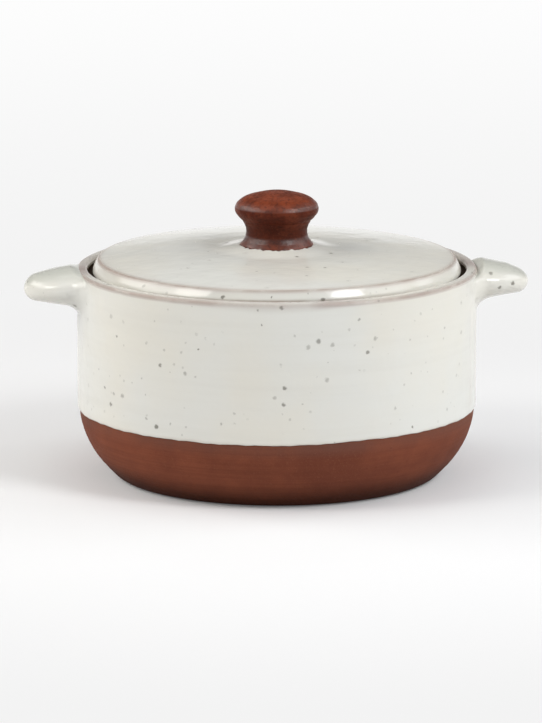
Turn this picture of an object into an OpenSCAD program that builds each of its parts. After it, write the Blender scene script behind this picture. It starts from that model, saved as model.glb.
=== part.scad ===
// Clay cooking pot: a thrown pot with two lug handles and a loose lid that rests on a ledge inside the rim.
// Fired glaze coats cover the clay, apart from the base, the two seats where the lid rests, and the knob.
// Outlines are drawn with the radius along X and the height along Y, and are turned about Z.

/* [Pot] */
// Outside diameter of the clay wall
pot_d = 198.6; // [170:0.2:240]
// Height of the clay rim above the table
rim_h = 104.8; // [90:0.2:140]
// Thickness of the clay wall and floor
wall_t = 6; // [4:0.1:8]
// How far the foot is set in from the wall
foot_inset = 23; // [20:0.1:30]
// Slope of the base between its two curves, in degrees
base_slope = 46; // [40:0.5:52]
// Radius of the curve from the foot to the slope
heel_r = 9; // [7:0.5:14]
// Radius of the curve from the slope to the wall
belly_r = 45; // [34:1:60]
// Width of the foot ring that stands on the table
foot_w = 10; // [6:0.5:20]
// Depth of the turned recess inside the foot ring
foot_recess = 1.2; // [0.6:0.1:2.5]

/* [Rim and ledge] */
// Thickness of the clay rim above the ledge
rim_t = 4.1; // [2.8:0.1:5]
// Radius on both edges of the rim
rim_round = 1.2; // [0.6:0.1:1.3]
// Depth of the lid's seat below the rim
seat_depth = 4; // [3:0.1:8]
// Width of the ledge that carries the lid
ledge_w = 11.2; // [9:0.2:15]
// Radius on the ledge's inner edge
ledge_nose = 1.2; // [0.6:0.1:1.6]
// Radius of the hollow curve from under the ledge to the wall
ledge_fillet = 6; // [2:0.5:10]

/* [Lid] */
// Open gap between the glazed rim and the glazed lid
lid_gap = 2.4; // [1.5:0.1:4]
// Height of the lid's edge above the rim
lid_stand = 4.5; // [3:0.1:8]
// How far the lid's edge is set in from its side
lid_bevel = 2.45; // [1.5:0.05:4]
// Thickness of the lid's plate in its middle, above its flat underside
lid_t = 8.1; // [6.5:0.1:9]
// Width of the lid's flat seat ring
lid_seat_w = 9; // [7:0.2:12]
// Width of the rolled border inside the lid's edge
lid_border_w = 4.4; // [3:0.1:8]
// Rise of the rolled border
lid_border_rise = 0.6; // [0.4:0.1:1.6]
// Rise of the dome from the border to the flare
dome_rise = 3.45; // [1.5:0.05:6]
// Width of the hollow flare round the knob
flare_w = 10; // [6:0.2:16]
// Rise of the hollow flare
flare_rise = 2.2; // [1:0.1:5]

/* [Knob] */
// Diameter of the knob's foot
knob_foot_d = 36.6; // [32:0.1:46]
// Height of the foot's upright edge
knob_foot_edge = 0.9; // [0.6:0.1:2]
// Diameter at which the knob's two flanks would meet in the waist
knob_waist_d = 26.5; // [20:0.1:30]
// Height of the waist above the lid
knob_waist_h = 7.9; // [6.5:0.1:10]
// Radius of the waist
knob_waist_r = 8.2; // [4:0.1:9]
// Diameter at which the head's flank and crown would meet
knob_brim_d = 46; // [40:0.1:54]
// Height of the brim above the lid
knob_brim_h = 19.3; // [17:0.1:21]
// Radius of the brim
knob_brim_r = 4.4; // [2:0.1:4.8]
// Diameter of the head's shoulder
knob_shoulder_d = 33.8; // [28:0.1:36]
// Height of the shoulder above the lid
knob_shoulder_h = 24.7; // [24:0.1:26]
// Radius of the shoulder
knob_shoulder_r = 13; // [6:0.5:14]
// Height of the whole knob above the lid
knob_h = 27.4; // [26.5:0.1:30]
// Diameter of the crown's flat middle
knob_top_d = 12.6; // [8:0.1:16]
// Radius where the crown flattens
knob_top_r = 25; // [5:1:28]

/* [Handles] */
// How far the handles reach out from the wall
handle_reach = 26.5; // [20:0.1:34]
// Height from the rim down to the middle of the handles at the wall
handle_drop = 6.7; // [6:0.1:30]
// Width of a handle at its widest
handle_w = 42.6; // [34:0.2:84]
// How far from the wall a handle is widest
handle_widest = 2.5; // [1:0.1:6]
// Thickness of a handle at its rounded tip
handle_tip_t = 9.8; // [6:0.1:11]
// Extra thickness of a handle's upper side at the wall
handle_rise = 3.5; // [0.5:0.1:4]
// Extra thickness of a handle's underside at the wall
handle_haunch = 6; // [0.5:0.1:8]
// Radius of the hollow curve from a handle into the wall
handle_fillet = 6.5; // [2:0.1:8]
// How far a handle's tip hangs below its middle at the wall
handle_droop = 2.1; // [0:0.1:4]
// Width of the crease where a handle that is as high as the rim meets it
handle_crease_w = 3.2; // [2:0.1:6]

/* [Glaze] */
// Thickness of the fired glaze
glaze_t = 0.7; // [0.4:0.05:1]
// Height of the glaze line above the table
glaze_line_h = 35; // [12:0.5:60]
// Bare margin left round the two seats
seat_margin = 1.5; // [0.8:0.1:2.4]
// Bare margin left round the knob's foot
knob_margin = 0.6; // [0.3:0.1:2]

/* [Hidden] */

clay = [0.43, 0.26, 0.20];
knob_clay = [0.30, 0.14, 0.10];
glaze = [0.88, 0.87, 0.83];
$fn = 180;

// Pot sizes
pot_r = pot_d / 2;
foot_r = pot_r - foot_inset;
foot_in_r = foot_r - foot_w;
recess_edge = 0.5;
heel_cut = heel_r * tan(base_slope / 2);
heel_corner = foot_r + heel_cut;
slope_run = pot_r - heel_corner;
slope_len = slope_run / cos(base_slope);
belly_half = (90 - base_slope) / 2;
belly_corner_h = slope_run * tan(base_slope);
// The belly's curve ends just short of where the heel's curve begins
slope_left = 0.3;
belly_round = min(belly_r, (slope_len - heel_cut - slope_left) / tan(belly_half));
inner_r = pot_r - wall_t;

// Ledge sizes
rim_in_r = pot_r - rim_t;
seat_h = rim_h - seat_depth;
seat_corner = 0.6;
ledge_in_r = rim_in_r - ledge_w;
// The slope under the ledge, in degrees; its glaze starts below the round nose
ledge_slope = 45;
ledge_root_h = seat_h - (inner_r - ledge_in_r) * tan(ledge_slope);
ledge_bare_h = seat_h - ledge_nose * (1 + cos(ledge_slope));

// Lid sizes
lid_r = rim_in_r - lid_gap - 2 * glaze_t;
lid_foot_round = 1.2;
lid_side_round = 3;
lid_edge_round = 0.9;
lid_border_round = 20;
lid_under_round = 3;
edge_r = lid_r - lid_bevel;
edge_h = rim_h + lid_stand;
border_r = edge_r - lid_border_w;
border_h = edge_h + lid_border_rise;
knob_foot_r = knob_foot_d / 2;
boss_r = knob_foot_r + knob_margin;
boss_round = 2;
flare_r = boss_r + flare_w;
flare_round = 40;
flare_h = border_h + dome_rise;
boss_h = flare_h + flare_rise;
dome_steps = 8;
seat_in_r = lid_r - lid_seat_w;
under_run = 2.5;
under_r = seat_in_r - under_run;
under_h = flare_h - lid_t;

// Handle sizes
handle_h = rim_h - handle_drop;
handle_tip = handle_tip_t / 2;
handle_sink = 3;
fillet_sink = 0.1;
handle_sides = 40;
fillet_steps = 4;
reach_steps = 9;
section_power = 2.2;
// How fast a handle narrows from its widest place back to the wall
waist_length = 2.2;
// At the wall, the upper side ends below the rim's round edge, with a fillet or with a crease
least_fillet = 0.1;
crease_clear = 0.4;
fillet_room = rim_h - rim_round - handle_h - handle_tip - handle_rise;
handle_top_fillet = max(min(handle_fillet, fillet_room), least_fillet);
handle_crease = max(crease_clear - fillet_room, 0);

// Height of the lid's dome at a radius: level at the flare, steeper towards the border
function dome_h(r) = flare_h - dome_rise * pow((r - flare_r) / (border_r - flare_r), 2);

// Outlines are closed lists of [radius, height, corner radius], from the axis round to the axis,
// with what they enclose on the left
pot_foot = [
    [0, foot_recess, 0],
    [foot_in_r, foot_recess, recess_edge],
    [foot_in_r + foot_recess, 0, recess_edge]
];
pot_outside = [
    [heel_corner, 0, heel_r],
    [pot_r, belly_corner_h, belly_round],
    [pot_r, rim_h, rim_round],
    [rim_in_r, rim_h, rim_round]
];
pot_seat = [
    [rim_in_r, seat_h, seat_corner],
    [ledge_in_r, seat_h, ledge_nose]
];
pot_inside = [
    [inner_r, ledge_root_h, ledge_fillet],
    [inner_r, belly_corner_h + wall_t * tan(belly_half), belly_round - wall_t],
    [heel_corner - wall_t * tan(base_slope / 2), wall_t, heel_r - wall_t]
];
pot_outline = concat(pot_foot, pot_outside, pot_seat, pot_inside, [[0, wall_t, 0]]);
// What the outer coat lies on: the pot's outside, filled up to the seat
pot_block = concat([[0, 0, 0]], pot_outside, [[rim_in_r, seat_h, 0], [0, seat_h, 0]]);
// What the inner coat lines: the space inside, with the slope under the ledge run on upward
pot_cavity = concat([[0, wall_t, 0]], [for (i = [2 : -1 : 0]) pot_inside[i]],
    [[ledge_in_r - seat_depth, seat_h + seat_depth, 0], [0, seat_h + seat_depth, 0]]);

lid_seat = [
    [seat_in_r, seat_h, lid_foot_round],
    [lid_r, seat_h, lid_foot_round]
];
lid_top = concat(
    [
        [lid_r, rim_h, lid_side_round],
        [edge_r, edge_h, lid_edge_round],
        [border_r, border_h, lid_border_round]
    ],
    [for (k = [dome_steps - 1 : -1 : 1])
        let (r = flare_r + (border_r - flare_r) * k / dome_steps)
        [r, dome_h(r), 0]],
    [
        [flare_r, flare_h, flare_round],
        [boss_r, boss_h, boss_round],
        [0, boss_h, 0]
    ]);
lid_under = [
    [0, under_h, 0],
    [under_r, under_h, lid_under_round]
];
lid_outline = concat(lid_under, lid_seat, lid_top);
// What the top coat lies on: the lid with its underside filled down to the seat
lid_block = concat([[0, seat_h, 0], lid_seat[1]], lid_top);
// What the under coat lines: the hollow under the lid, with its sloping side run on downward
hollow_low_h = 2 * seat_h - under_h;
lid_hollow = concat([[0, hollow_low_h, 0], [seat_in_r + under_run, hollow_low_h, 0]],
    [for (i = [len(lid_under) - 1 : -1 : 0]) lid_under[i]]);

knob_foot_round = 0.6;
knob_outline = [
    [0, boss_h, 0],
    [knob_foot_r, boss_h, knob_foot_round / 2],
    [knob_foot_r, boss_h + knob_foot_edge, knob_foot_round],
    [knob_waist_d / 2, boss_h + knob_waist_h, knob_waist_r],
    [knob_brim_d / 2, boss_h + knob_brim_h, knob_brim_r],
    [knob_shoulder_d / 2, boss_h + knob_shoulder_h, knob_shoulder_r],
    [knob_top_d / 2, boss_h + knob_h, knob_top_r],
    [0, boss_h + knob_h, 0]
];

// Outline arithmetic
function place(p) = [p[0], p[1]];
function direction(a, b) = (b - a) / norm(b - a);
function left_of(d) = [-d[1], d[0]];
function right_of(d) = [d[1], -d[0]];
function turn(d, e) = atan2(d[0] * e[1] - d[1] * e[0], d * e);
function angle_of(v) = atan2(v[1], v[0]);
function polar(c, r, a) = c + r * [cos(a), sin(a)];

// Where a side that runs to or from the axis at p crosses it after moving outward by t
function slid(p, d, t) = let (q = p + t * right_of(d)) [0, q[1] - d[1] * q[0] / d[0], 0];

// A corner point after its two sides have moved outward by t
function grown_corner(pts, i, t) =
    let (p = place(pts[i]), r = pts[i][2])
    let (d = direction(place(pts[i - 1]), p), e = direction(p, place(pts[i + 1])))
    let (q = p + t * (right_of(d) + right_of(e)) / (1 + d * e))
    [q[0], q[1], r > 0 ? max(r + sign(turn(d, e)) * t, 0) : 0];

// An outline moved outward by t all round
function grown(pts, t) =
    let (last = len(pts) - 1, first_side = direction(place(pts[0]), place(pts[1])))
    let (last_side = direction(place(pts[last - 1]), place(pts[last])))
    concat([slid(place(pts[0]), first_side, t)],
        [for (i = [1 : last - 1]) grown_corner(pts, i, t)],
        [slid(place(pts[last]), last_side, t)]);

// A corner as [start, end, centre, radius, first angle, sweep]; a sweep over zero bulges outward
function corner(pts, i) =
    let (n = len(pts), p = place(pts[i]), r = pts[i][2])
    let (d = direction(place(pts[(i + n - 1) % n]), p), e = direction(p, place(pts[(i + 1) % n])))
    let (sweep = turn(d, e), cut = r * tan(abs(sweep) / 2))
    let (start = p - cut * d, centre = start + sign(sweep) * r * left_of(d))
    [start, p + cut * e, centre, r, angle_of(start - centre), sweep];

// Angles over a sweep, close enough together for a straight-sided wedge
wedge_step = 30;
function wedge_angles(first, sweep) =
    let (n = max(1, ceil(abs(sweep) / wedge_step)))
    [for (k = [0 : n]) first + sweep * k / n];

// The part of a disc between an arc and its chord, cut by a wedge whose sides clear the arc
module cap(c) {
    far = c[3] * (2 - cos(wedge_step));
    intersection() {
        translate(c[2]) circle(r = c[3]);
        polygon(concat([c[0]], [for (a = wedge_angles(c[4], c[5])) polar(c[2], far, a)], [c[1]]));
    }
}

// The filled region inside an outline
module filled(pts) {
    corners = [for (i = [0 : len(pts) - 1]) corner(pts, i)];
    difference() {
        union() {
            polygon([for (c = corners) each (c[3] > 0 ? [c[0], c[1]] : [c[0]])]);
            for (c = corners) if (c[3] > 0 && c[5] > 0) cap(c);
        }
        for (c = corners) if (c[3] > 0 && c[5] < 0) cap(c);
    }
}

// A coat of thickness t on the outside of an outline
module coat(pts, t) {
    difference() {
        filled(grown(pts, t));
        filled(pts);
    }
}

// A coat of thickness t that lines the inside of an outline
module lining(pts, t) {
    difference() {
        filled(pts);
        filled(grown(pts, -t));
    }
}

// Everything within a radius and below a height
module below(r, h) {
    translate([0, -pot_r]) square([r, pot_r + h]);
}

// Half the width of a handle, a distance s out from the wall
function handle_half_w(s, grow) =
    let (reach = handle_reach + grow, out = max(s - handle_widest, 0) / (reach - handle_widest))
    let (back = max(handle_widest - s, 0) / (waist_length * handle_widest))
    (handle_w / 2 + grow) * sqrt(max(1 - out * out - back * back, 0)) + fillet(s, handle_fillet);

// Half the thickness of a handle, with extra thickness towards the wall
function handle_half_t(s, grow, extra, round_r) =
    let (reach = handle_reach + grow, tip = handle_tip + grow, k = max(s - reach + tip, 0) / tip)
    tip * sqrt(max(1 - k * k, 0)) + extra * max(1 - s / reach, 0) + fillet(s, round_r);

// Depth of the crease in the upper side, a distance s out from the wall
function crease(s) = handle_crease * pow(max(1 - s / handle_crease_w, 0), 2);

// Height of the middle of a handle, a distance s out from the wall
function handle_middle(s, grow) = handle_h - handle_droop * pow(s / (handle_reach + grow), 2);

// Width that a hollow fillet adds, a distance s out from the wall
function fillet(s, r) = s >= r ? 0 : r - sqrt(r * r - pow(r - max(s, 0), 2));

// A rounded wave that squares up the handle's oval section
function squarish(u) = sign(u) * pow(abs(u), 2 / section_power);

// One ring of a handle, on a cylinder a distance s out from the wall
function handle_ring(s, grow) =
    let (out = max(s, 0), half_w = handle_half_w(out, grow), middle = handle_middle(out, grow))
    let (up = handle_half_t(out, grow, handle_rise, handle_top_fillet) - crease(out))
    let (down = handle_half_t(out, grow, handle_haunch, handle_fillet))
    [for (k = [0 : handle_sides - 1])
        let (a = 360 * k / handle_sides, y = half_w * squarish(cos(a)), v = squarish(sin(a)))
        [sqrt(pow(pot_r + s, 2) - y * y), y, middle + (v > 0 ? up : down) * v]];

// Distances of the rings from the wall: from inside the wall, round the fillet, then out to the tip
function handle_stations(grow, sink) =
    let (reach = handle_reach + grow)
    concat([-sink, -fillet_sink],
        [for (k = [1 : fillet_steps - 1]) handle_fillet * (1 - cos(90 * k / fillet_steps))],
        [for (k = [0 : reach_steps - 1])
            handle_fillet + (reach - handle_fillet) * sin(90 * k / reach_steps)]);

// The right handle's form, lofted from its rings to a point at the tip
module handle_form(grow, sink) {
    stations = handle_stations(grow, sink);
    last = len(stations) - 1;
    n = handle_sides;
    root = (last + 1) * n;
    tip = root + 1;
    points = concat([for (s = stations) each handle_ring(s, grow)],
        [[pot_r - sink, 0, handle_h], [pot_r + handle_reach + grow, 0, handle_h - handle_droop]]);
    sides = [for (k = [0 : last - 1], i = [0 : n - 1])
        let (a = k * n + i, b = k * n + (i + 1) % n)
        each [[a, a + n, b + n], [a, b + n, b]]];
    ends = [for (i = [0 : n - 1])
        let (j = (i + 1) % n)
        each [[root, i, j], [tip, last * n + j, last * n + i]]];
    polyhedron(points = points, faces = concat(sides, ends));
}

// The side of the pot that a handle is on: 1 for right, -1 for left
module on_side(side) {
    mirror([side < 0 ? 1 : 0, 0, 0]) children();
}

module handle(side) {
    difference() {
        on_side(side) handle_form(0, handle_sink);
        cylinder(r = pot_r, h = rim_h);
    }
}

module handle_coat(side) {
    difference() {
        on_side(side) handle_form(glaze_t, handle_sink);
        on_side(side) handle_form(0, 2 * handle_sink);
        cylinder(r = pot_r + glaze_t, h = rim_h + glaze_t);
    }
}

module pot_body() {
    color(clay) rotate_extrude() filled(pot_outline);
}

module pot_outer_glaze() {
    color(glaze) difference() {
        rotate_extrude() difference() {
            coat(pot_block, glaze_t);
            below(pot_d, glaze_line_h);
            below(rim_in_r + rim_t / 2, seat_h + seat_margin);
        }
        for (side = [-1, 1]) on_side(side) handle_form(0, handle_sink);
    }
}

module pot_inner_glaze() {
    color(glaze) rotate_extrude() intersection() {
        lining(pot_cavity, glaze_t);
        below(pot_d, ledge_bare_h);
    }
}

module handle_left() {
    color(clay) handle(-1);
}

module handle_left_glaze() {
    color(glaze) handle_coat(-1);
}

module handle_right() {
    color(clay) handle(1);
}

module handle_right_glaze() {
    color(glaze) handle_coat(1);
}

module lid_plate() {
    color(clay) rotate_extrude() filled(lid_outline);
}

module lid_top_glaze() {
    color(glaze) rotate_extrude() difference() {
        coat(lid_block, glaze_t);
        below(pot_d, seat_h + seat_margin);
        below(boss_r, boss_h + pot_r);
    }
}

module lid_under_glaze() {
    color(glaze) rotate_extrude() difference() {
        lining(lid_hollow, glaze_t);
        below(pot_d, seat_h + seat_margin);
    }
}

module lid_knob() {
    color(knob_clay) rotate_extrude() filled(knob_outline);
}

pot_body();
pot_outer_glaze();
pot_inner_glaze();
handle_left();
handle_left_glaze();
handle_right();
handle_right_glaze();
lid_plate();
lid_top_glaze();
lid_under_glaze();
lid_knob();
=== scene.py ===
# Looks for a clay cooking pot: turned clay, fired glaze coats, hand-made lugs and a loose lid.
# Lengths are in millimetres and match the solids. Meshes are scaled to metres as they are made.
import math

import bpy
import numpy as np
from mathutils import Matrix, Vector


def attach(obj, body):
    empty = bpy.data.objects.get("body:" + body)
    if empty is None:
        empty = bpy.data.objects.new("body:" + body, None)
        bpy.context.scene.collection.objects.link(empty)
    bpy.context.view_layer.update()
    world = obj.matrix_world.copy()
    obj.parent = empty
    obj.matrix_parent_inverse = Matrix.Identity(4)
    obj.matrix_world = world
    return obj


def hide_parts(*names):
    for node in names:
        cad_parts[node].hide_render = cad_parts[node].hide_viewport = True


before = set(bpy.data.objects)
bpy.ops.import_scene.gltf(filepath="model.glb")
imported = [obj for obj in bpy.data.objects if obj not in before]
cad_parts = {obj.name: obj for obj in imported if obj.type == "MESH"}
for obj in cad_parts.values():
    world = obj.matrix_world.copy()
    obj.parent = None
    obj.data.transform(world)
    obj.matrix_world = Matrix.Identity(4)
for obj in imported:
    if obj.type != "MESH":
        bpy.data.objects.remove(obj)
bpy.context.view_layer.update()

MM = 0.001
TURNS = 288

# Pot
POT_R = 99.3
RIM_H = 104.8
WALL_T = 6.0
FOOT_R = 76.3
FOOT_IN_R = 66.3
FOOT_RECESS = 1.2
BASE_SLOPE = math.radians(46)
HEEL_ROUND = 9.0
BELLY_ROUND = 45.0
HEEL_R = FOOT_R + HEEL_ROUND * math.tan(BASE_SLOPE / 2)
BELLY_H = (POT_R - HEEL_R) * math.tan(BASE_SLOPE)
INNER_R = POT_R - WALL_T
RIM_IN_R = 95.2
RIM_ROUND = 1.2
FOOT_EDGE = 0.5
SEAT_CORNER = 0.6
CAVITY_ROUND = 6.0
SEAT_H = 100.8
LEDGE_IN_R = 84.0
LEDGE_NOSE = 1.2
LEDGE_ROOT_H = SEAT_H - (INNER_R - LEDGE_IN_R)
LEDGE_BARE_H = SEAT_H - LEDGE_NOSE * (1 + math.cos(math.radians(45)))

# Lid
LID_R = 91.4
UNDER_H = 105.25
EDGE_R, EDGE_H = 88.95, 109.3
BORDER_R, BORDER_H = 84.55, 109.9
FLARE_R, FLARE_H = 28.9, 113.35
BOSS_R, BOSS_H = 18.9, 115.55
SEAT_IN_R = 82.4
UNDER_R = 79.9
UNDER_ROUND = 3.0
LID_FOOT_ROUND = 1.2
DOME_RISE = FLARE_H - BORDER_H

# Knob
KNOB_FOOT_R = 18.3
KNOB_TOP_H = 142.95
KNOB_WAIST_R = 13.25
KNOB_BRIM_R = 23.0
CREASE_H = 128.6

# Handles
HANDLE_H = 98.1
HANDLE_REACH = 26.5
HANDLE_W = 42.6
HANDLE_WIDEST = 2.5
HANDLE_TIP = 4.9
HANDLE_RISE = 3.5
HANDLE_HAUNCH = 6.0
HANDLE_FILLET = 6.5
HANDLE_DROOP = 2.1
ROOT_SPREAD = 1.6
ROOT_UNDER = 0.65
WAIST_LENGTH = 2.2
SECTION_POWER = 2.2
LUMP = 0.015

# Glaze
GLAZE_T = 0.7
BEAD = 1.0
LID_LINE_DROP = 0.1
GLAZE_LINE_H = 35.0
SEAT_MARGIN = 1.5
COAT_SINK = 0.12

rng = np.random.default_rng(41)


def smooth(value, low, high):
    """0 below low, 1 above high, with a soft step between; low may be the larger."""
    share = np.clip((value - low) / (high - low), 0, 1)
    return share * share * (3 - 2 * share)


def near_angle(middle, width):
    """1 at an angle round the pot, in degrees from +X, and falling off over a width."""
    off = (np.degrees(around()) - middle + 180) % 360 - 180
    return np.exp(-(off / width) ** 2)


def waves(angles, sizes):
    """A wavy line round the pot: sizes gives (waves in a turn, height) pairs."""
    return sum(size * np.sin(count * angles + rng.uniform(0, 2 * math.pi)) for count, size in sizes)


# Outlines
def straight(a, b, run):
    steps = max(1, math.ceil(np.linalg.norm(b - a) / run))
    return [a + (b - a) * k / steps for k in range(1, steps + 1)]


def turned(vector, angle):
    c, s = math.cos(angle), math.sin(angle)
    return np.array([c * vector[0] - s * vector[1], s * vector[0] + c * vector[1]])


def rounded(corners, run=1.5, turn=4.0):
    """Points along an outline of (radius, height, corner radius), with the clay on its left."""
    pts = [np.array(c[:2], float) for c in corners]
    out = [pts[0]]
    for before, here, after, corner in zip(pts, pts[1:], pts[2:], corners[1:]):
        into = (here - before) / np.linalg.norm(here - before)
        away = (after - here) / np.linalg.norm(after - here)
        sweep = math.atan2(into[0] * away[1] - into[1] * away[0], into @ away)
        radius = corner[2]
        arc = [here]
        if radius > 0 and abs(sweep) > 1e-6:
            start = here - radius * math.tan(abs(sweep) / 2) * into
            centre = start + math.copysign(radius, sweep) * np.array([-into[1], into[0]])
            steps = max(2, math.ceil(math.degrees(abs(sweep)) / turn))
            arc = [centre + turned(start - centre, sweep * k / steps) for k in range(steps + 1)]
        out += straight(out[-1], arc[0], run)
        out += arc[1:]
    out += straight(out[-1], pts[-1], run)
    return np.array(out)


def lengths(line):
    return np.concatenate([[0], np.cumsum(np.linalg.norm(np.diff(line, axis=0), axis=1))])


def normals(line):
    """Unit normals of a line or of rows of lines, on its right, which is away from the clay."""
    along = np.gradient(line, axis=-2)
    across = np.stack([along[..., 1], -along[..., 0]], axis=-1)
    return across / np.maximum(np.linalg.norm(across, axis=-1, keepdims=True), 1e-9)


def dome(r):
    return FLARE_H - DOME_RISE * ((r - FLARE_R) / (BORDER_R - FLARE_R)) ** 2


# Meshes
def mesh_object(name, points, faces, layers):
    mesh = bpy.data.meshes.new(name)
    mesh.from_pydata((points * MM).tolist(), [], faces)
    mesh.polygons.foreach_set("use_smooth", np.ones(len(faces), bool))
    for layer, values in layers.items():
        mesh.attributes.new(layer, "FLOAT", "POINT").data.foreach_set("value", np.ravel(values))
    mesh.update()
    piece = bpy.data.objects.new(name, mesh)
    bpy.context.scene.collection.objects.link(piece)
    return piece


def strip_faces(turns, count, closed):
    """Faces between neighbouring rows of count points; closed rows join their last point to their first."""
    j = np.arange(turns)[:, None]
    k = np.arange(count if closed else count - 1)[None, :]
    here, there = j * count, ((j + 1) % turns) * count
    corners = [here + k, there + k, there + (k + 1) % count, here + (k + 1) % count]
    return np.stack([np.broadcast_to(c, (turns, k.size)) for c in corners], -1).reshape(-1, 4).tolist()


def around(turns=TURNS):
    return np.arange(turns) * 2 * math.pi / turns


def spun(rows):
    """Points of rows of (radius, height), one row to each angle."""
    angles = around(len(rows))[:, None]
    r, z = rows[..., 0], rows[..., 1]
    return np.stack([r * np.cos(angles), r * np.sin(angles), z], -1)


def ring_piece(name, rows, warp, layers):
    """A closed ring whose section is each row's closed line."""
    points = warp(spun(rows).reshape(-1, 3))
    return mesh_object(name, points, strip_faces(len(rows), rows.shape[1], True), layers)


def solid_piece(name, rows, warp, layers):
    """A turned solid whose rows run from the axis round to the axis."""
    turns, count = rows.shape[0], rows.shape[1] - 2
    middle = spun(rows[:, 1:-1]).reshape(-1, 3)
    ends = [[0, 0, rows[0, 0, 1]], [0, 0, rows[0, -1, 1]]]
    points = warp(np.concatenate([middle, ends]))
    first, last = turns * count, turns * count + 1
    faces = strip_faces(turns, count, False)
    for j in range(turns):
        here, there = j * count, ((j + 1) % turns) * count
        faces.append([first, there, here])
        faces.append([here + count - 1, there + count - 1, last])
    full = {}
    for layer, values in layers.items():
        full[layer] = np.concatenate([values[:, 1:-1].ravel(), [values[0, 0], values[0, -1]]])
    return mesh_object(name, points, faces, full)


def same_rows(line):
    return np.repeat(line[None], TURNS, axis=0)


def along(line, places):
    """Points of a line at given lengths along it."""
    s = lengths(line)
    return np.stack([np.interp(places, s, line[:, 0]), np.interp(places, s, line[:, 1])], -1)


def coat_rows(line, starts, ends, bead_start, bead_end):
    """Rows of a coat on a line, from starts to ends along it; each edge is rounded over its bead's width.
    Gives the closed rows and the place along the line of each point."""
    s = lengths(line)
    inner = s[(s > starts.max() + bead_start) & (s < ends.min() - bead_end)]
    first = bead_start * (1 - np.cos(np.linspace(0, math.pi / 2, 9)))
    last = bead_end * (1 - np.cos(np.linspace(0, math.pi / 2, 9)))
    middle = (inner - inner[0]) / (inner[-1] - inner[0])
    head = starts[:, None] + first[None]
    tail = ends[:, None] - last[None, ::-1]
    gap_a, gap_b = head[:, -1:] + 0.3, tail[:, :1] - 0.3
    places = np.concatenate([head, gap_a + (gap_b - gap_a) * middle[None], tail], axis=1)
    on_clay = along(line, places)
    out = normals(on_clay)
    near_a = np.clip((places - starts[:, None]) / bead_start, 0, 1)
    near_b = np.clip((ends[:, None] - places) / bead_end, 0, 1)
    swell = np.sqrt(1 - (1 - near_a) ** 2) * np.sqrt(1 - (1 - near_b) ** 2)
    top = on_clay + out * ((GLAZE_T + COAT_SINK) * swell - COAT_SINK)[..., None]
    under = (on_clay - out * COAT_SINK)[:, -2:0:-1]
    return np.concatenate([top, under], axis=1), np.concatenate([places, places[:, -2:0:-1]], axis=1)


def pot_warp(points):
    """Takes the pot a little out of true, inward and downward only, with its seat left flat."""
    x, y, z = points.T
    rho, angle = np.hypot(x, y), np.arctan2(y, x)
    high = smooth(z, 12, 70)
    oval = 0.12 * (1 - np.cos(2 * angle + 0.2)) + 0.05 * (1 - np.cos(4 * angle - 0.3))
    scale = 1 - high * oval / POT_R
    dip = 0.1 * (1 + np.cos(2 * angle + 2.0)) + 0.06 * (1 + np.cos(5 * angle))
    drop = dip * smooth(z, 101.2, 104.5) * smooth(rho, 93, 95)
    return np.stack([x * scale, y * scale, z - drop], -1)


def lid_warp(points):
    """Takes the lid a little out of true, with its seat left flat."""
    x, y, z = points.T
    rho, angle = np.hypot(x, y), np.arctan2(y, x)
    high = smooth(z, 101.5, 106)
    scale = 1 - high * 0.1 * (1 + np.cos(2 * angle - 0.4)) / LID_R
    dip = 0.11 * (1 + np.cos(2 * angle - 1.2)) + 0.05 * (1 + np.cos(3 * angle + 0.5))
    return np.stack([x * scale, y * scale, z - dip * high * smooth(rho, 30, 88)], -1)


def knob_warp(points):
    """Leaves the knob slightly uneven, as a hand-turned one is."""
    x, y, z = points.T
    angle = np.arctan2(y, x)
    high = smooth(z, BOSS_H + 1, BOSS_H + 6)
    uneven = 0.012 * (1 + np.cos(2 * angle + 0.9)) / 2 + 0.006 * (1 + np.cos(3 * angle)) / 2
    scale = 1 - high * uneven
    return np.stack([x * scale, y * scale, z], -1)


def throwing_rings(rows, depth, pitch, drift):
    """Shallow grooves round a surface, cut inward; they climb and fade a little on the way round."""
    angles = around(len(rows))[:, None]
    z = rows[..., 1]
    sway = drift * np.sin(angles + 0.8) + 0.5 * drift * np.sin(2 * angles + 2.1)
    phase = 2 * math.pi * (z + sway) / pitch
    uneven = 0.5 + 0.5 * np.sin(0.37 * phase + 1.7 + 0.8 * np.sin(angles))
    return depth * (0.5 + 0.5 * np.sin(phase)) * (0.35 + 0.65 * uneven)


# Pot clay
cavity_corners = [
    (INNER_R, LEDGE_ROOT_H, CAVITY_ROUND),
    (INNER_R, BELLY_H + WALL_T * math.tan((math.pi / 2 - BASE_SLOPE) / 2), BELLY_ROUND - WALL_T),
    (HEEL_R - WALL_T * math.tan(BASE_SLOPE / 2), WALL_T, HEEL_ROUND - WALL_T), (0, WALL_T, 0)]
pot_line = rounded([
    (0, FOOT_RECESS, 0), (FOOT_IN_R, FOOT_RECESS, FOOT_EDGE), (FOOT_IN_R + FOOT_RECESS, 0, FOOT_EDGE),
    (HEEL_R, 0, HEEL_ROUND), (POT_R, BELLY_H, BELLY_ROUND), (POT_R, RIM_H, RIM_ROUND),
    (RIM_IN_R, RIM_H, RIM_ROUND), (RIM_IN_R, SEAT_H, SEAT_CORNER), (LEDGE_IN_R, SEAT_H, LEDGE_NOSE)]
    + cavity_corners, run=1.2, turn=2.0)
pot_rows = same_rows(pot_line)
pot_out = normals(pot_rows)
turned_base = smooth(pot_out[..., 0], 0.25, 0.6) * smooth(pot_rows[..., 1], 40, 34)
turned_base *= smooth(pot_rows[..., 1], 1, 4)
grooves = throwing_rings(pot_rows, 0.10, 3.1, 0.6) + throwing_rings(pot_rows, 0.05, 1.45, 0.3)
pot_rows = pot_rows - pot_out * (turned_base * grooves)[..., None]
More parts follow.
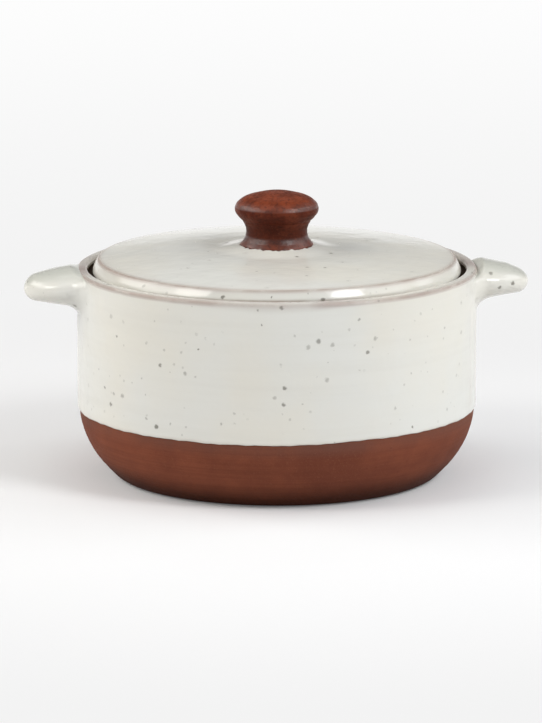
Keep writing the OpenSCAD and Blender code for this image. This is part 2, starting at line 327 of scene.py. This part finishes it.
below_line = {"line": same_rows(pot_line)[..., 1] - GLAZE_LINE_H}
pot_clay = solid_piece("pot_clay", pot_rows, pot_warp, below_line)

# Pot outer coat
wall_line = rounded([
    (FOOT_R, 0, 0), (HEEL_R, 0, HEEL_ROUND), (POT_R, BELLY_H, BELLY_ROUND), (POT_R, RIM_H, RIM_ROUND),
    (RIM_IN_R, RIM_H, RIM_ROUND), (RIM_IN_R, SEAT_H + SEAT_MARGIN, 0)], run=0.9, turn=2.0)
wall_s = lengths(wall_line)
rising = slice(0, int(np.argmax(wall_line[:, 1])) + 1)
angles = around()
GLAZE_LINE_TILT = 0.55
GLAZE_LINE_WAVES = [
    (2, 0.22), (3, 0.2), (5, 0.16), (8, 0.1), (13, 0.08), (21, 0.07), (34, 0.07), (55, 0.08), (89, 0.06)]
glaze_edge_h = GLAZE_LINE_H + GLAZE_LINE_TILT * np.cos(angles) + waves(angles, GLAZE_LINE_WAVES)
glaze_edge = np.interp(glaze_edge_h, wall_line[rising, 1], wall_s[rising])
wall_rows, wall_places = coat_rows(wall_line, glaze_edge, np.full(TURNS, wall_s[-1]), BEAD, BEAD)
rim_corner = np.interp(RIM_H - RIM_ROUND * 0.5, wall_line[rising, 1], wall_s[rising])
wall_out = normals(wall_rows)
upright = smooth(wall_out[..., 0], 0.5, 0.9) * smooth(wall_rows[..., 1], RIM_H - 1.5, RIM_H - 5)
upright *= smooth(wall_rows[..., 1], GLAZE_LINE_H + 1.5, GLAZE_LINE_H + 6)
rings = throwing_rings(wall_rows, 0.07, 13.0, 2.5) + throwing_rings(wall_rows, 0.02, 4.3, 1.0)
wall_rows = wall_rows - wall_out * (upright * rings)[..., None]
over_rim = wall_places - rim_corner
front = near_angle(265, 17)[:, None]
# Painted shade: the rim's top and inner face are darkened towards mauve at its left and right ends and at
# its back flanks. The mauve band over the rim's corner is the glaze's own colour.
ends = (near_angle(181, 11) + 0.8 * near_angle(359, 9))[:, None]
rim_flank_shade = (near_angle(155, 20) + near_angle(22, 20))[:, None]
outer_line = np.exp(-(over_rim / 0.8) ** 2)
# The dark line at the rim's inner edge, at the front only, is partly a glaze break and partly painted shade
# of the gap between lid and rim.
inner_line = np.exp(-((over_rim - 2.4) / 1.0) ** 2)
wall_layers = {
    "thin_glaze_and_gap_shade": np.maximum(outer_line * (0.75 - 0.3 * front), inner_line * near_angle(265, 40)[:, None]),
    "mauve_tint_and_rim_shade": np.maximum(
        smooth(over_rim, -1.8 - 3.2 * front, 0.0) * smooth(over_rim, 1.2 + 3.5 * front, 0.4 + 3.0 * front)
        * (0.63 + 0.55 * front), (1.1 * ends + 0.7 * rim_flank_shade) * smooth(over_rim, -5, -1)),
    "edge": smooth(wall_places - glaze_edge[:, None], 2.0, 0.2),
}
pot_outer_coat = ring_piece("pot_outer_coat", wall_rows, pot_warp, wall_layers)

# Pot inner coat
cavity_top = (LEDGE_IN_R + LEDGE_NOSE * 0.3, LEDGE_BARE_H, 0)
cavity_line = rounded([cavity_top] + cavity_corners, run=1.5, turn=3.0)
cavity_out = normals(cavity_line)
cavity_grow = GLAZE_T * np.sqrt(1 - (1 - np.clip(lengths(cavity_line) / BEAD, 0, 1)) ** 2)
cavity_face = cavity_line + cavity_out * cavity_grow[:, None]
cavity_face[-1, 0] = 0
cavity_back = (cavity_line - cavity_out * COAT_SINK)[::-1]
cavity_back[0, 0] = 0
inner_rows = same_rows(np.concatenate([cavity_back, cavity_face]))
zero = np.zeros(inner_rows.shape[:2])
pot_inner_coat = solid_piece(
    "pot_inner_coat", inner_rows, pot_warp, {"thin_glaze_and_gap_shade": zero, "mauve_tint_and_rim_shade": zero, "edge": zero})

# Lid clay
top_dome = [(r, dome(r), 0) for r in np.linspace(BORDER_R, FLARE_R, 13)[1:-1]]
lid_crown = [(LID_R, RIM_H, 6), (EDGE_R, EDGE_H, 1.6), (BORDER_R, BORDER_H, 20)] + top_dome + [
    (FLARE_R, FLARE_H, 40), (BOSS_R, BOSS_H, 2)]
lid_foot = [
    (0, UNDER_H, 0), (UNDER_R, UNDER_H, UNDER_ROUND), (SEAT_IN_R, SEAT_H, LID_FOOT_ROUND),
    (LID_R, SEAT_H, LID_FOOT_ROUND)]
lid_line = rounded(lid_foot + lid_crown + [(0, BOSS_H, 0)], run=1.5, turn=3.0)
lid_rows = same_rows(lid_line)
lid_clay = solid_piece("lid_clay", lid_rows, lid_warp, {"line": np.full(lid_rows.shape[:2], -9.0)})

# Lid top coat
crown_line = rounded(
    [(LID_R, SEAT_H + SEAT_MARGIN, 0)] + lid_crown + [(KNOB_FOOT_R - 2, BOSS_H, 0)], run=0.9, turn=2.0)
crown_s = lengths(crown_line)
knob_edge_r = KNOB_FOOT_R - 0.45 + waves(angles, [(3, 0.1), (5, 0.14), (9, 0.12), (14, 0.1), (23, 0.08)])
falling = slice(len(crown_line) - 30, len(crown_line))
knob_edge = np.interp(-knob_edge_r, -crown_line[falling, 0], crown_s[falling])
crown_rows, crown_places = coat_rows(crown_line, np.zeros(TURNS), knob_edge, 1.0, 0.8)
edge_corner = crown_s[np.argmin(np.hypot(crown_line[:, 0] - EDGE_R, crown_line[:, 1] - EDGE_H))]
crown_out = normals(crown_rows)
on_dome = smooth(crown_out[..., 1], 0.8, 0.97) * smooth(crown_rows[..., 0], 86, 80)
on_dome *= smooth(crown_rows[..., 0], 24, 34)
spin = np.stack([crown_rows[..., 0], crown_rows[..., 0]], -1)
lid_rings = throwing_rings(spin, 0.022, 11.0, 2.0) + throwing_rings(spin, 0.006, 4.3, 0.8)
crown_rows = crown_rows - crown_out * (on_dome * lid_rings)[..., None]
from_edge = crown_places - edge_corner
by_knob = smooth(crown_rows[..., 0], KNOB_FOOT_R + 1.8, KNOB_FOOT_R + 0.2)
by_knob *= smooth(crown_rows[..., 1], BOSS_H, BOSS_H + 0.3)
ragged = waves(angles, [(7, 0.1), (13, 0.12), (19, 0.1), (29, 0.1), (43, 0.08)])
crown_rows[..., 1] += by_knob * ragged[:, None]
# Painted shade: a dark band low on the lid's side at the front, where it goes down into the gap by the rim.
painted_gap_shade = np.exp(-((crown_rows[..., 1] - RIM_H - 0.1) / 0.6) ** 2) * near_angle(265, 38)[:, None]
far_border = near_angle(85, 48)[:, None] * smooth(from_edge, -1.5, 0) * smooth(from_edge, 5.5, 4)
crown_layers = {
    "thin_glaze_and_gap_shade": np.maximum(0.75 * np.exp(-((from_edge + LID_LINE_DROP) / 0.8) ** 2), 0.8 * painted_gap_shade),
    "mauve_tint_and_rim_shade": np.maximum(0.63 * np.exp(-np.abs(from_edge + LID_LINE_DROP) / 1.8), 0.55 * far_border),
    "edge": smooth(knob_edge[:, None] - crown_places, 1.6, 0.2),
}
lid_top_coat = ring_piece("lid_top_coat", crown_rows, lid_warp, crown_layers)

# Lid under coat
hollow_end_r = SEAT_IN_R + (UNDER_R - SEAT_IN_R) * SEAT_MARGIN / (UNDER_H - SEAT_H)
hollow_line = rounded(
    [(0, UNDER_H, 0), (UNDER_R, UNDER_H, UNDER_ROUND), (hollow_end_r, SEAT_H + SEAT_MARGIN, 0)],
    run=1.5, turn=3.0)
hollow_out = normals(hollow_line)
hollow_s = lengths(hollow_line)
hollow_grow = GLAZE_T * np.sqrt(1 - (1 - np.clip((hollow_s[-1] - hollow_s) / BEAD, 0, 1)) ** 2)
hollow_face = hollow_line + hollow_out * hollow_grow[:, None]
hollow_face[0, 0] = 0
hollow_back = (hollow_line - hollow_out * COAT_SINK)[::-1]
hollow_back[-1, 0] = 0
under_rows = same_rows(np.concatenate([hollow_face, hollow_back]))
zero = np.zeros(under_rows.shape[:2])
lid_under_coat = solid_piece(
    "lid_under_coat", under_rows, lid_warp, {"thin_glaze_and_gap_shade": zero, "mauve_tint_and_rim_shade": zero, "edge": zero})

# Knob
knob_line = rounded([
    (0, BOSS_H, 0), (KNOB_FOOT_R, BOSS_H, 0.3), (KNOB_FOOT_R, BOSS_H + 0.9, 0.6),
    (KNOB_WAIST_R, BOSS_H + 7.9, 8.2), (KNOB_BRIM_R, BOSS_H + 19.3, 4.4), (16.9, BOSS_H + 24.7, 13),
    (6.3, KNOB_TOP_H, 25), (0, KNOB_TOP_H, 0)], run=0.5, turn=2.0)
knob_rows = same_rows(knob_line)
knob_out = normals(knob_rows)
crease = 0.3 * np.exp(-((knob_rows[..., 1] - CREASE_H) / 0.55) ** 2) * smooth(knob_out[..., 0], 0.3, 0.6)
tooling = throwing_rings(knob_rows, 0.08, 2.3, 0.5) * smooth(knob_out[..., 0], 0.2, 0.5)
knob_rows = knob_rows - knob_out * (crease + tooling)[..., None]
crown_share = smooth(knob_out[..., 1], 0.25, 0.85)
polish = smooth(knob_out[..., 1], 0.10, 0.34) * smooth(knob_out[..., 1], 0.93, 0.62)
# Painted shade: the neck under the brim is marked to be darkened.
neck_shade = smooth(knob_rows[..., 1], BOSS_H + 15, BOSS_H + 9)
neck_shade *= smooth(knob_rows[..., 1], BOSS_H, BOSS_H + 5)
knob_layers = {"crown": crown_share, "neck": neck_shade, "polish": polish}
knob = solid_piece("knob", knob_rows, knob_warp, knob_layers)


# Handles
def fillet(s, radius):
    inside = np.clip(s, 0, radius)
    return radius - np.sqrt(radius * radius - (radius - inside) ** 2)


def squarish(u):
    return np.sign(u) * np.abs(u) ** (2 / SECTION_POWER)


def lower_of(a, b, soft):
    """The smaller of two values, with a soft change from one to the other."""
    return -soft * np.logaddexp(-a / soft, -b / soft)


def handle_piece(name, side, grow, wall, lift, seat, ramp, slim):
    """A lug lofted outward from the wall: rings on cylinders round the pot, closed at both ends.
    Its edge runs on a little way into the wall, and its top runs up from the rim: seat is the height
    there, ramp the slope and slim the share that the top loses near the tip."""
    reach, tip = HANDLE_REACH + grow, HANDLE_TIP + grow
    start = wall - np.array([3.0, 1.5, 0.35, 0.12])
    lip = np.array([3.0, 3.0, 3.0, 1.5])
    foot = wall + HANDLE_FILLET * (1 - np.cos(np.linspace(0, math.pi / 2, 17)))[:-1]
    body = foot[-1] + (reach - foot[-1]) * np.sin(np.linspace(0, math.pi / 2, 41))[1:-1]
    s = np.concatenate([start, foot, body])[:, None]
    lip = np.concatenate([lip, np.zeros(len(foot) + len(body))])[:, None]
    held = np.maximum(s, wall)
    middle = HANDLE_H - HANDLE_DROOP * (held / reach) ** 2 + lift * smooth(held, 0, 9)
    out = np.maximum(held - HANDLE_WIDEST, 0) / (reach - HANDLE_WIDEST)
    back = np.maximum(HANDLE_WIDEST - held, 0) / (WAIST_LENGTH * HANDLE_WIDEST)
    root = fillet(held - wall, HANDLE_FILLET)
    plan = np.sqrt(np.maximum(1 - out ** 2 - back ** 2, 0))
    half_w = (HANDLE_W / 2 + grow) * plan + ROOT_SPREAD * root + lip
    nose = np.maximum(held - reach + tip, 0) / tip
    half_t = tip * np.sqrt(np.maximum(1 - nose ** 2, 0))
    up = half_t + HANDLE_RISE * np.maximum(1 - held / reach, 0)
    up = up * (1 - slim * smooth(held, reach - 11, reach - 3))
    up = lower_of(up, RIM_H + seat + ramp * (s - wall) - middle, 0.25)
    down = half_t + HANDLE_HAUNCH * np.maximum(1 - held / reach, 0) + ROOT_UNDER * root + lip
    a = around(144)[None]
    pressed = 1 - LUMP * (0.5 + 0.5 * np.sin(2 * a + 0.3 * held + side)) * smooth(held, 2, 9)
    y, v = half_w * squarish(np.cos(a)) * pressed, squarish(np.sin(a)) * pressed
    z = middle + np.where(v > 0, up, down) * v
    x = np.sqrt((POT_R + s) ** 2 - y ** 2)
    rings = np.stack([x, y, z], -1)
    count, sides = rings.shape[:2]
    ends = [[POT_R + s[0, 0], 0, HANDLE_H], [POT_R + reach, 0, HANDLE_H - HANDLE_DROOP + lift]]
    points = np.concatenate([rings.reshape(-1, 3), ends])
    points[:, 0] *= side
    faces = []
    for k in range(count - 1):
        for i in range(sides):
            j = (i + 1) % sides
            faces.append([k * sides + i, k * sides + j, (k + 1) * sides + j, (k + 1) * sides + i])
    last = (count - 1) * sides
    for i in range(sides):
        j = (i + 1) % sides
        faces.append([count * sides, j, i])
        faces.append([count * sides + 1, last + i, last + j])
    if side < 0:
        faces = [face[::-1] for face in faces]
    zero = np.zeros(len(points))
    # Painted shade: the faces of the lug turned upward are marked to be greyed and darkened.
    lug_top_shade = np.concatenate([(smooth(v, 0.35, 0.95) * smooth(held, -1, 1)).ravel(), [0, 0]])
    layers = {"thin_glaze_and_gap_shade": zero, "mauve_tint_and_rim_shade": zero, "edge": zero, "line": zero - 9.0, "lug_top_shade": lug_top_shade}
    return mesh_object(name, pot_warp(points), faces, layers)


handle_clay_right = handle_piece("handle_clay_right", 1, 0, 0, 0.4, -2.4, 0.85, 0.2)
handle_clay_left = handle_piece("handle_clay_left", -1, 0, 0, -0.1, -0.1, 0.3, 0.0)
handle_coat_right = handle_piece("handle_coat_right", 1, GLAZE_T, GLAZE_T, 0.4, -1.4, 0.95, 0.2)
handle_coat_left = handle_piece("handle_coat_left", -1, GLAZE_T, GLAZE_T, -0.1, 0.85, 0.35, 0.0)



# Materials
class Shader:
    """A material's node tree, with short calls for the nodes that these materials use."""

    def __init__(self, name):
        self.material = bpy.data.materials.new(name)
        self.material.use_nodes = True
        self.tree = self.material.node_tree
        self.surface = self.tree.nodes["Principled BSDF"]
        self.place = self.add("ShaderNodeTexCoord").outputs["Object"]

    def add(self, kind, inputs=(), **settings):
        node = self.tree.nodes.new(kind)
        for key, value in settings.items():
            setattr(node, key, value)
        for key, value in dict(inputs).items():
            self.feed(node.inputs[key], value)
        return node

    def feed(self, socket, value):
        if isinstance(value, bpy.types.NodeSocket):
            self.tree.links.new(value, socket)
        else:
            socket.default_value = value

    def layer(self, name):
        return self.add("ShaderNodeAttribute", attribute_name=name).outputs["Fac"]

    def stretched(self, scale):
        return self.add("ShaderNodeMapping", {"Vector": self.place, "Scale": scale}).outputs["Vector"]

    def noise(self, scale, detail=2.0, rough=0.5, place=None):
        inputs = {"Vector": place or self.place, "Scale": scale, "Detail": detail, "Roughness": rough}
        return self.add("ShaderNodeTexNoise", inputs).outputs["Fac"]

    def sum(self, a, b):
        return self.math("ADD", a, b)

    def times(self, a, b):
        return self.math("MULTIPLY", a, b)

    def math(self, operation, a, b):
        return self.add("ShaderNodeMath", {0: a, 1: b}, operation=operation).outputs["Value"]

    def vector(self, operation, inputs):
        return self.add("ShaderNodeVectorMath", inputs, operation=operation).outputs["Vector"]

    def step(self, value, low, high, first=0.0, last=1.0):
        inputs = {"Value": value, "From Min": low, "From Max": high, "To Min": first, "To Max": last}
        return self.add("ShaderNodeMapRange", inputs, interpolation_type="SMOOTHSTEP").outputs["Result"]

    def mix(self, share, a, b):
        node = self.add("ShaderNodeMix", {0: share, 6: a, 7: b}, data_type="RGBA")
        return node.outputs[2]

    def specks(self, scale, small, large, chance, ragged):
        """Dark grains at random places: the share of dark at each point."""
        noise = {"Vector": self.place, "Scale": ragged[0], "Detail": 1.0}
        shake = self.add("ShaderNodeTexNoise", noise).outputs["Color"]
        shift = self.vector("SUBTRACT", {0: shake, 1: (0.5, 0.5, 0.5)})
        moved = self.vector("SCALE", {0: shift, "Scale": ragged[1]})
        place = self.vector("ADD", {0: self.place, 1: moved})
        cells = self.add("ShaderNodeTexVoronoi", {"Vector": place, "Scale": scale})
        random = self.add("ShaderNodeSeparateColor", {"Color": cells.outputs["Color"]})
        size = self.step(random.outputs["Green"], 0, 1, small * scale, large * scale)
        core = self.times(size, 0.45)
        spot = self.step(cells.outputs["Distance"], size, core)
        picked = self.math("LESS_THAN", random.outputs["Red"], chance)
        strength = self.step(random.outputs["Blue"], 0, 1, 0.45, 1.0)
        return self.times(self.times(spot, picked), strength)

    def bump(self, height, strength, distance, under=None):
        inputs = {"Height": height, "Strength": strength, "Distance": distance}
        if under:
            inputs["Normal"] = under
        return self.add("ShaderNodeBump", inputs).outputs["Normal"]

    def finish(self, inputs):
        for key, value in inputs.items():
            self.feed(self.surface.inputs[key], value)
        return self.material


def glaze_material():
    s = Shader("speckled_glaze")
    cloud = s.noise(16, 3.0)
    bands = s.noise(1.0, 3.0, 0.6, s.stretched((9, 9, 170)))
    tone = s.mix(s.step(cloud, 0.35, 0.65), (0.745, 0.725, 0.655, 1), (0.735, 0.735, 0.695, 1))
    tone = s.mix(s.step(bands, 0.40, 0.75, 0.0, 0.22), tone, (0.66, 0.645, 0.59, 1))
    patch = s.noise(75, 3.0, 0.6)
    mauve_tint_and_rim_shade = s.times(s.layer("mauve_tint_and_rim_shade"), s.step(s.noise(22, 2.0), 0.35, 0.65, 0.25, 0.75))
    tone = s.mix(mauve_tint_and_rim_shade, tone, (0.36, 0.285, 0.262, 1))
    # Painted shade: the lugs' upper sides greyed and darkened.
    tone = s.mix(s.times(s.layer("lug_top_shade"), 0.75), tone, (0.52, 0.53, 0.475, 1))
    thin_glaze_and_gap_shade = s.times(s.layer("thin_glaze_and_gap_shade"), s.step(patch, 0.30, 0.62, 0.45, 1.0))
    tone = s.mix(s.times(thin_glaze_and_gap_shade, 0.88), tone, (0.30, 0.21, 0.172, 1))
    edge = s.times(s.layer("edge"), s.step(patch, 0.35, 0.65, 0.1, 0.5))
    tone = s.mix(edge, tone, (0.60, 0.53, 0.45, 1))
    cluster = s.step(s.noise(24, 2.0), 0.46, 0.60)
    iron = s.specks(122, 0.0007, 0.0016, 1.0, (700, 0.0014))
    dust = s.times(s.specks(160, 0.0006, 0.0011, 0.9, (1100, 0.0008)), cluster)
    dark = s.math("MAXIMUM", iron, s.times(dust, 0.5))
    tone = s.mix(s.times(dark, 0.78), tone, (0.10, 0.09, 0.065, 1))
    ripple = s.noise(90, 2.0)
    fine = s.noise(900, 2.0)
    bump = s.bump(ripple, 0.5, 0.0006)
    bump = s.bump(fine, 0.08, 0.0001, bump)
    matt = s.times(s.math("MAXIMUM", dark, thin_glaze_and_gap_shade), 0.4)
    rough = s.sum(s.step(patch, 0.3, 0.7, 0.11, 0.17), matt)
    return s.finish({"Base Color": tone, "Roughness": rough, "Normal": bump, "Specular IOR Level": 0.5})


def clay_material(name, shades, rough_low, rough_high, gloss):
    """Fired clay: two main shades, a pale and a dark grain, turning lines and a greyer band by the glaze,
    with painted shade darkening it towards the foot and on the seat ledge.
    """
    s = Shader(name)
    cloud = s.noise(30, 4.0, 0.6)
    lines = s.noise(1.0, 3.0, 0.6, s.stretched((14, 14, 900)))
    grain = s.noise(1300, 2.0, 0.7)
    tone = s.mix(s.step(cloud, 0.3, 0.7), shades[0], shades[1])
    tone = s.mix(s.step(lines, 0.35, 0.75, 0.0, 0.35), tone, shades[2])
    tone = s.mix(s.step(grain, 0.52, 0.72, 0.0, 0.4), tone, shades[3])
    tone = s.mix(s.times(s.specks(420, 0.0003, 0.0007, 0.4, (1500, 0.0006)), 0.5), tone, shades[2])
    smoke = s.times(s.step(s.layer("line"), -9.0, 0.0), s.step(cloud, 0.25, 0.7, 0.2, 0.6))
    tone = s.mix(smoke, tone, shades[4])
    # Painted shade: darker towards the foot, where the pot's underside turns down to the floor.
    tone = s.mix(s.step(s.layer("line"), -19.0, -34.0, 0.0, 0.9), tone, (0.035, 0.009, 0.004, 1))
    # Painted shade: the bare seat ledge and the rim's bare inner face are darkened brown-grey, as the shade
    # in the gap under the lid's edge.
    tone = s.mix(s.step(s.layer("line"), 40.0, 60.0, 0.0, 0.85), tone, (0.05, 0.042, 0.027, 1))
    bump = s.bump(grain, 0.35, 0.00025)
    bump = s.bump(lines, 0.3, 0.0002, bump)
    rough = s.step(grain, 0.3, 0.7, rough_low, rough_high)
    return s.finish({"Base Color": tone, "Roughness": rough, "Normal": bump, "Specular IOR Level": gloss})


def knob_material():
    """Dark burnished clay: mottled, oranger on its crown, darker at its neck under the brim as painted
    shade, and polished on its brim.
    """
    s = Shader("knob_clay")
    mottle = s.noise(520, 3.0, 0.65)
    cloud = s.noise(120, 3.0, 0.6)
    grain = s.noise(1400, 2.0, 0.7)
    tone = s.mix(s.step(cloud, 0.38, 0.62), (0.135, 0.030, 0.014, 1), (0.080, 0.016, 0.008, 1))
    warm = s.times(s.layer("crown"), s.step(cloud, 0.35, 0.65, 0.8, 0.4))
    tone = s.mix(warm, tone, (0.225, 0.046, 0.017, 1))
    # Painted shade: the neck under the brim darkened.
    tone = s.mix(s.times(s.layer("neck"), 0.6), tone, (0.040, 0.009, 0.005, 1))
    tone = s.mix(s.step(mottle, 0.44, 0.72, 0.0, 0.65), tone, (0.040, 0.011, 0.007, 1))
    tone = s.mix(s.step(grain, 0.55, 0.75, 0.0, 0.35), tone, (0.24, 0.075, 0.038, 1))
    bump = s.bump(mottle, 0.4, 0.0005)
    bump = s.bump(grain, 0.4, 0.0002, bump)
    rough = s.step(mottle, 0.35, 0.65, 0.35, 0.5)
    burnish = s.step(s.layer("polish"), 0.0, 1.0, 0.0, 0.75)
    return s.finish({
        "Base Color": tone, "Roughness": rough, "Normal": bump, "Specular IOR Level": 0.06,
        "Coat Weight": burnish, "Coat Roughness": 0.36, "Coat Normal": bump})


glaze = glaze_material()
pot_red = clay_material(
    "bare_clay",
    [(0.225, 0.066, 0.034, 1), (0.155, 0.045, 0.025, 1), (0.120, 0.033, 0.018, 1), (0.25, 0.090, 0.052, 1),
     (0.152, 0.076, 0.058, 1)], 0.62, 0.8, 0.09)
knob_red = knob_material()


def dress(piece, material, body, node):
    piece.data.materials.append(material)
    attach(piece, body)
    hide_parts(node)


dress(pot_clay, pot_red, "pot", "pot_body")
dress(pot_outer_coat, glaze, "pot", "pot_outer_glaze")
dress(pot_inner_coat, glaze, "pot", "pot_inner_glaze")
dress(handle_clay_left, pot_red, "pot", "handle_left")
dress(handle_coat_left, glaze, "pot", "handle_left_glaze")
dress(handle_clay_right, pot_red, "pot", "handle_right")
dress(handle_coat_right, glaze, "pot", "handle_right_glaze")
dress(lid_clay, pot_red, "lid", "lid_plate")
dress(lid_top_coat, glaze, "lid", "lid_top_glaze")
dress(lid_under_coat, glaze, "lid", "lid_under_glaze")
dress(knob, knob_red, "lid", "lid_knob")

# Floor
FLOOR_SIZE = 12.0
FLOOR_NEAR, FLOOR_FAR = 0.18, 0.5
FLOOR_COLOUR = (0.77, 0.77, 0.78, 1)
FLOOR_GLOW = 0.10
FAR_WHITE = (0.895, 0.985)
FAR_RANGE = (0.4, 1.9)
bpy.ops.mesh.primitive_circle_add(vertices=96, radius=FLOOR_SIZE, fill_type="NGON", location=(0, 0, 0))
floor = bpy.context.object
floor.name = "floor"


def seen_directly(s):
    """1 for rays from the camera and for mirrored or refracted ones, otherwise 0."""
    path = s.add("ShaderNodeLightPath").outputs
    seen = s.math("MAXIMUM", path["Is Camera Ray"], path["Is Glossy Ray"])
    return s.math("MAXIMUM", seen, path["Is Transmission Ray"])


def floor_material():
    s = Shader("floor")
    seen = seen_directly(s)
    far = s.add("ShaderNodeVectorMath", {0: s.place}, operation="LENGTH").outputs["Value"]
    lit = s.add("ShaderNodeBsdfDiffuse", {"Color": FLOOR_COLOUR})
    glow = s.add("ShaderNodeEmission", {"Color": (1, 1, 1, 1), "Strength": s.times(seen, FLOOR_GLOW)})
    near = s.add("ShaderNodeAddShader", {0: lit.outputs[0], 1: glow.outputs[0]})
    level = s.step(far, *FAR_RANGE, *FAR_WHITE)
    white = s.add("ShaderNodeEmission", {"Color": (1, 1, 1, 1), "Strength": level})
    share = s.times(seen, s.step(far, FLOOR_NEAR, FLOOR_FAR))
    both = s.add("ShaderNodeMixShader", {0: share, 1: near.outputs[0], 2: white.outputs[0]})
    out = s.tree.nodes["Material Output"]
    s.tree.links.new(both.outputs[0], out.inputs["Surface"])
    s.tree.nodes.remove(s.surface)
    return s.material


floor.data.materials.append(floor_material())


# World: white at the horizon, as a studio sweep is, and dimmer above
SKY_LEVELS = {"From Min": 0.03, "From Max": 0.16, "To Min": 0.92, "To Max": 0.25}


def sky():
    world = bpy.data.worlds.new("studio")
    bpy.context.scene.world = world
    world.use_nodes = True
    tree = world.node_tree
    place = tree.nodes.new("ShaderNodeTexCoord")
    parts = tree.nodes.new("ShaderNodeSeparateXYZ")
    tree.links.new(place.outputs["Generated"], parts.inputs[0])
    level = tree.nodes.new("ShaderNodeMapRange")
    level.interpolation_type = "SMOOTHSTEP"
    for key, value in SKY_LEVELS.items():
        level.inputs[key].default_value = value
    tree.links.new(parts.outputs["Z"], level.inputs["Value"])
    tree.links.new(level.outputs["Result"], tree.nodes["Background"].inputs["Strength"])
    tree.nodes["Background"].inputs["Color"].default_value = (1, 1, 1, 1)


sky()

# Camera, turned about the pot's axis so that the left lug is nearer
CAMERA_TURN = math.radians(-5.0)
CAMERA_TILT = math.radians(11.55)
CAMERA_AWAY = 2800.0
CAMERA_MIDDLE_H = 60.0
AIM = (-2.91, 0.0, 56.3)
LENS = 278.0


def about_axis(x, y, z, angle):
    c, s = math.cos(angle), math.sin(angle)
    return Vector((c * x - s * y, s * x + c * y, z)) * MM


camera_data = bpy.data.cameras.new("camera")
camera = bpy.data.objects.new("camera", camera_data)
bpy.context.scene.collection.objects.link(camera)
camera_data.sensor_width = 36
camera_data.lens = LENS
camera_data.clip_end = 50
camera_back = CAMERA_AWAY * math.cos(CAMERA_TILT)
camera_up = CAMERA_MIDDLE_H + CAMERA_AWAY * math.sin(CAMERA_TILT)
camera.location = about_axis(0, -camera_back, camera_up, CAMERA_TURN)
aim = about_axis(*AIM, CAMERA_TURN)
camera.rotation_euler = (aim - camera.location).to_track_quat("-Z", "Y").to_euler()
bpy.context.scene.camera = camera


# Lamps, placed by their angle from the camera (right is over 0), their height angle and their distance
def softbox(name, azimuth, height, away, width, tall, power, colour):
    data = bpy.data.lights.new(name, "AREA")
    data.shape = "ELLIPSE"
    data.size, data.size_y = width, tall
    data.energy = power
    data.color = colour
    lamp = bpy.data.objects.new(name, data)
    bpy.context.scene.collection.objects.link(lamp)
    turn = CAMERA_TURN + math.radians(azimuth)
    flat = away * math.cos(math.radians(height))
    middle = Vector((0, 0, 0.06))
    lamp.location = middle + Vector(
        (flat * math.sin(turn), -flat * math.cos(turn), away * math.sin(math.radians(height))))
    lamp.rotation_euler = (middle - lamp.location).to_track_quat("-Z", "Y").to_euler()


WARMEST = (1.0, 0.975, 0.93)
WARM = (1.0, 0.98, 0.94)
COOL = (0.985, 0.995, 1.0)
WHITE = (1.0, 1.0, 1.0)
softbox("left_box", -62, 38, 1.5, 0.5, 0.7, 6.2, WARMEST)
softbox("left_panel", -85, 30, 1.5, 0.7, 0.9, 4.2, WARM)
softbox("left_back", -110, 35, 1.5, 0.7, 0.9, 4.8, WARM)
softbox("right_box", 49, 38, 1.5, 0.5, 0.7, 9.8, COOL)
softbox("right_panel", 80, 30, 1.5, 0.7, 0.9, 3.2, COOL)
softbox("right_back", 110, 35, 1.5, 0.7, 0.9, 3.5, COOL)
softbox("back_box", 180, 50, 1.6, 1.0, 0.5, 1.0, WHITE)
softbox("top_box", 0, 85, 1.5, 1.0, 1.0, 1.4, WHITE)

bpy.context.scene.view_settings.view_transform = "Standard"
